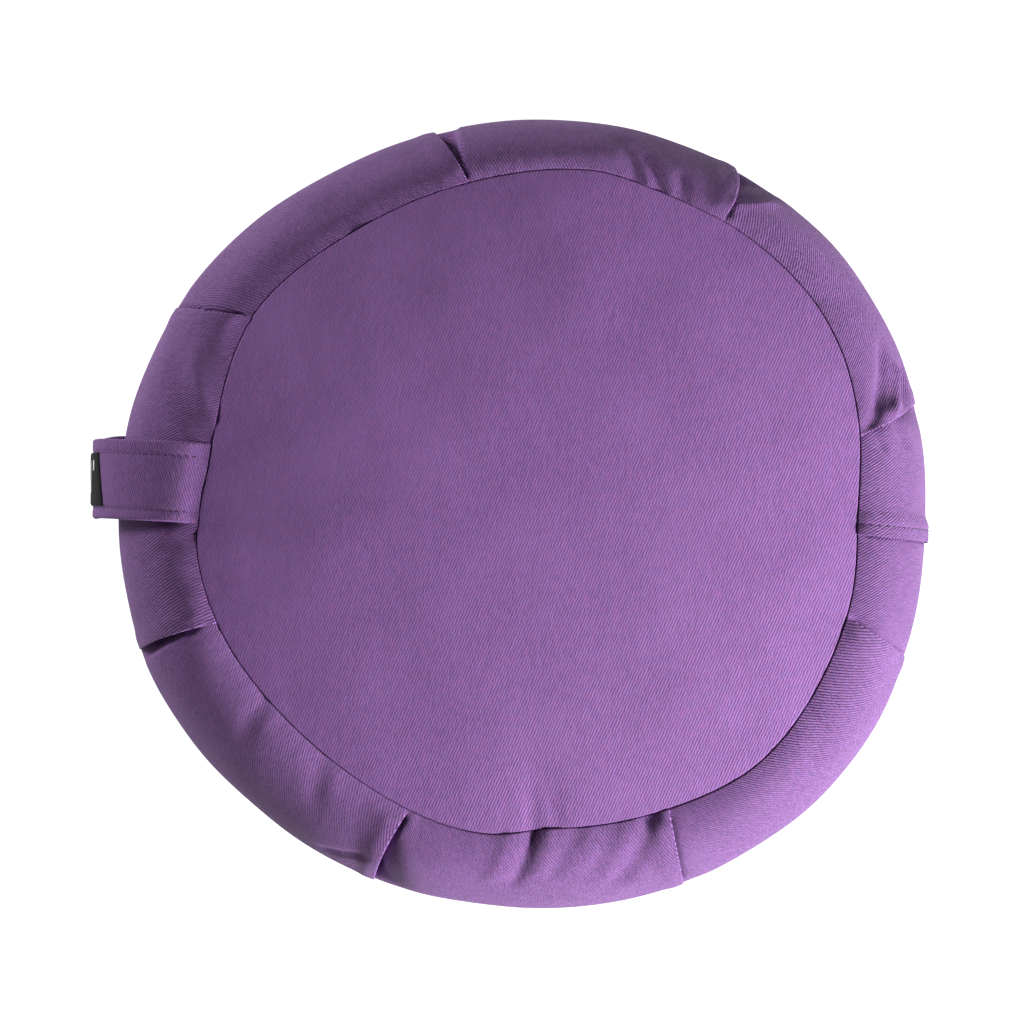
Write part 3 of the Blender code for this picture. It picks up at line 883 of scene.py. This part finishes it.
def along_at(length):
    """The strap's own coordinate at a length of cloth from the top seam."""
    return float(np.interp(length, STRAP_RUN, np.linspace(0.0, 1.0, len(STRAP_RUN))))


def make_strap(material):
    places = strap_places()
    rings, cloth = [], []
    for length in np.arange(0.0, STRAP_RUN[-1], STRAP_RING):
        along = along_at(length)
        outer = [strap_point(along, p, strap_face(p, length)) for p in places]
        inner = [strap_point(along, p, -strap_face(p, length)) for p in places[::-1]]
        rings.append([tuple(p) for p in outer + inner])
        coords = [(-1.08 * length, -STRAP_PICKS * p) for p in places]
        cloth.append(coords + coords[::-1])
    strap = grid_mesh("strap_cloth", np.array(rings), np.array(cloth))
    strap.data.materials.append(material)
    return strap


def make_label(material):
    """The label lies on the strap between its stitch lines, its edges turned down."""
    low = STRAP_THICKNESS / 2
    places = np.linspace(-1.0, 1.0, 29)
    rings, cloth = [], []
    start, end = LABEL_ALONG
    for i in range(61):
        share = i / 60
        ring, coords = [], []
        for side in (1, -1):
            for p in places[::side]:
                slant = -0.018 * p * (1.0 - share)
                along = start - slant + (end - start + slant) * share
                rim = min(1.0, min(share, 1 - share) * 24, (1 - abs(p)) * 14)
                thick = LABEL_THICKNESS * (0.45 + 0.55 * math.sqrt(rim))
                lift = low + LABEL_LIFT + (thick if side > 0 else 0.0)
                across = p * LABEL_WIDTH / 2 - LABEL_ASIDE
                ring.append(tuple(strap_point(along, across, lift, dip=0.0)))
                coords.append((along * STRAP_RUN[-1], across))
        rings.append(ring)
        cloth.append(coords)
    label = grid_mesh("woven_label", np.array(rings), np.array(cloth))
    label.data.materials.append(material)
    return label


def make_label_marks(material):
    """Three short bars woven into the label, in place of any lettering."""
    low = STRAP_THICKNESS / 2 + LABEL_LIFT + LABEL_THICKNESS - BAR_SUNK
    high = low + BAR_HEIGHT
    start, end = LABEL_ALONG
    verts, faces = [], []
    for first, last, reach in LABEL_BARS:
        base = len(verts)
        for p in np.linspace(-1.0, 1.0, 9):
            across = (0.72 - reach + p * reach) * LABEL_WIDTH / 2 - LABEL_ASIDE
            for share, lift in ((first, low), (first, high), (last, high), (last, low)):
                along = start + (end - start) * share
                verts.append(tuple(strap_point(along, across, lift, dip=0.0)))
        for i in range(8):
            a, b = base + 4 * i, base + 4 * i + 4
            faces += [(a + k, b + k, b + (k + 1) % 4, a + (k + 1) % 4) for k in range(4)]
        faces.append((base + 3, base + 2, base + 1, base))
        faces.append(tuple(base + 32 + k for k in range(4)))
    marks = finished_mesh("label_bars", np.array(verts), faces)
    marks.data.materials.append(material)
    return marks


def capsule(start, end, normal, radius, rings=7, sides=8):
    """Points and faces of one stitch, bowed up in its middle and dived at both ends."""
    way = (end - start).normalized()
    aside = way.cross(normal).normalized()
    verts, faces = [], []
    for i in range(rings):
        share = i / (rings - 1)
        bow = math.sin(math.pi * share)
        centre = start.lerp(end, share) + normal * radius * (1.1 * bow - 0.9)
        thick = radius * (0.35 + 0.65 * math.sqrt(bow)) if 0 < i < rings - 1 else radius * 0.3
        for k in range(sides):
            turn = 2 * math.pi * k / sides
            verts.append(centre + (aside * math.cos(turn) + normal * math.sin(turn)) * thick)
    for i in range(rings - 1):
        for k in range(sides):
            after = (k + 1) % sides
            faces.append((i * sides + k, i * sides + after, (i + 1) * sides + after,
                          (i + 1) * sides + k))
    faces.append(tuple(reversed(range(sides))))
    faces.append(tuple(range((rings - 1) * sides, rings * sides)))
    return verts, faces


def stitches_mesh(name, runs, material):
    """One mesh of all stitches. runs holds (start, end, normal) for each of them."""
    verts, faces = [], []
    for start, end, normal in runs:
        points, loops = capsule(start, end, normal, STITCH_RADIUS)
        base = len(verts)
        verts += [tuple(p) for p in points]
        faces += [tuple(base + i for i in loop) for loop in loops]
    obj = finished_mesh(name, np.array(verts), faces)
    obj.data.materials.append(material)
    return obj


def strap_stitches():
    runs = []
    for across in STRAP_STITCH_LINES:
        for length in np.arange(5 * MM, STRAP_RUN[-1] - 5 * MM, STITCH_PITCH):
            lift = strap_face(across, length + STITCH_LENGTH / 2) + 0.10 * MM
            a, b = along_at(length), along_at(length + STITCH_LENGTH)
            start, end = strap_point(a, across, lift), strap_point(b, across, lift)
            over = strap_point((a + b) / 2, across, lift + MM)
            normal = (over - start.lerp(end, 0.5)).normalized()
            runs.append((start, end, normal))
    return runs


def lap_point(length, lift):
    """A point on the stitch line of the band's lapped join, length down from the seam."""
    row = float(np.interp(length, FALL, ROWS))
    radius = float(GIRTH.at(0.0))
    angle = math.radians(LAP_ANGLE) + LAP_STITCH_LINE / radius
    r, z, out, up = (float(v) for v in side_at(np.array(angle), np.array(row)))
    rise = float(np.interp(length, FALL, lap_rise(LAP_STITCH_LINE)))
    rise -= float(crease_depth(np.array([angle]), np.array([row]))[0])
    near = min(length, float(FALL[-1]) - length)
    lump = FILLING_LUMP * float(FILLING.at(angle * MEAN_RADIUS, near))
    rise += lump * float(smooth(near / (12 * MM)))
    r += (rise + lift) * out + SEAM_GAP - BAND_INSET * float(smooth(near / (25 * MM)))
    z += (rise + lift) * up
    return Vector((r * math.cos(angle), r * math.sin(angle), z))


def lap_stitches():
    runs = []
    for length in np.arange(4 * MM, float(FALL[-1]) - 6 * MM, STITCH_PITCH):
        start = lap_point(length, 0.12 * MM)
        end = lap_point(length + STITCH_LENGTH, 0.12 * MM)
        over = lap_point(length + STITCH_LENGTH / 2, MM)
        normal = (over - start.lerp(end, 0.5)).normalized()
        runs.append((start, end, normal))
    return runs


# ---------------------------------------------------------------- room, light, camera
def make_floor():
    bpy.ops.mesh.primitive_plane_add(size=40.0, location=(0.0, 0.0, -0.4 * MM))
    floor = bpy.context.object
    floor.name = "floor"
    n = Nodes("pale_floor")
    place = n.add("ShaderNodeTexCoord")
    grain = n.noise(place.outputs["Object"], 4.0, 2.0)
    n.link(n.mix(grain, (0.26, 0.26, 0.26), (0.29, 0.29, 0.29)), n.shader.inputs["Base Color"])
    n.shader.inputs["Roughness"].default_value = 0.9
    n.shader.inputs["Specular IOR Level"].default_value = 0.0
    n.shader.inputs["Emission Color"].default_value = (1.0, 1.0, 1.0, 1.0)
    n.shader.inputs["Emission Strength"].default_value = 0.97
    floor.data.materials.append(n.material)


def area_light(name, azimuth, elevation, distance, size, watts):
    """A square soft light aimed at the cushion. Its azimuth is as the camera sees it."""
    turn = math.radians(azimuth) + TURN
    rise = math.radians(elevation)
    aim = Vector((0.0, 0.0, GIRTH_Z))
    place = Vector((math.cos(turn) * math.cos(rise), math.sin(turn) * math.cos(rise),
                    math.sin(rise))) * distance
    data = bpy.data.lights.new(name, "AREA")
    data.size = size
    data.energy = watts
    lamp = bpy.data.objects.new(name, data)
    lamp.location = aim + place
    lamp.rotation_euler = (-place).to_track_quat("-Z", "Y").to_euler()
    bpy.context.scene.collection.objects.link(lamp)


def make_lights():
    world = bpy.data.worlds.new("studio")
    world.use_nodes = True
    world.node_tree.nodes["Background"].inputs[0].default_value = (1.0, 1.0, 1.0, 1.0)
    world.node_tree.nodes["Background"].inputs[1].default_value = WORLD_STRENGTH
    bpy.context.scene.world = world
    for lamp in LAMPS:
        area_light(*lamp)
    bpy.context.scene.view_settings.view_transform = "Standard"


def make_camera():
    data = bpy.data.cameras.new("camera")
    data.lens = CAMERA_LENS
    data.sensor_width = 36.0
    camera = bpy.data.objects.new("camera", data)
    camera.rotation_euler = Euler((CAMERA_TILT, 0.0, TURN), "XYZ")
    back = camera.rotation_euler.to_matrix() @ Vector((0.0, 0.0, CAMERA_DISTANCE))
    camera.location = Vector((*CAMERA_AIM, GIRTH_Z)) + back
    bpy.context.scene.collection.objects.link(camera)
    bpy.context.scene.camera = camera


def dress(piece, slot, *nodes):
    """Ties a finished piece to the frame."""
    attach(piece, "root")
    if nodes:
        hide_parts(*nodes)


def main():
    make_camera()
    make_lights()
    make_floor()
    flat_twill = twill_material("purple_panel_twill", PURPLE, lift=0.24 * MM, yarn_tone_and_shade=0.46)
    # The band and strap get deeper painted shade in the weave's hollows than the panels.
    twill = twill_material("purple_band_twill", PURPLE, lift=0.85 * MM, yarn_tone_and_shade=0.70)
    thread = thread_material()

    band = make_band(twill)
    dress(band, "purple_twill", "side_band")

    top = make_panel("top_cloth", False, flat_twill)
    dress(top, "purple_twill", "top_panel")
    bottom = make_panel("bottom_cloth", True, flat_twill)
    dress(bottom, "purple_twill", "bottom_panel")

    strap = make_strap(twill)
    dress(strap, "purple_twill", "handle_strap")
    sewn = stitches_mesh("strap_stitches", strap_stitches(), thread)
    dress(sewn, "purple_twill")
    label = make_label(label_material())
    dress(label, "black_label", "label_tab")
    bars = make_label_marks(pale_thread_material())
    dress(bars, "black_label")
    join = stitches_mesh("lap_stitches", lap_stitches(), thread)
    dress(join, "purple_twill")


main()
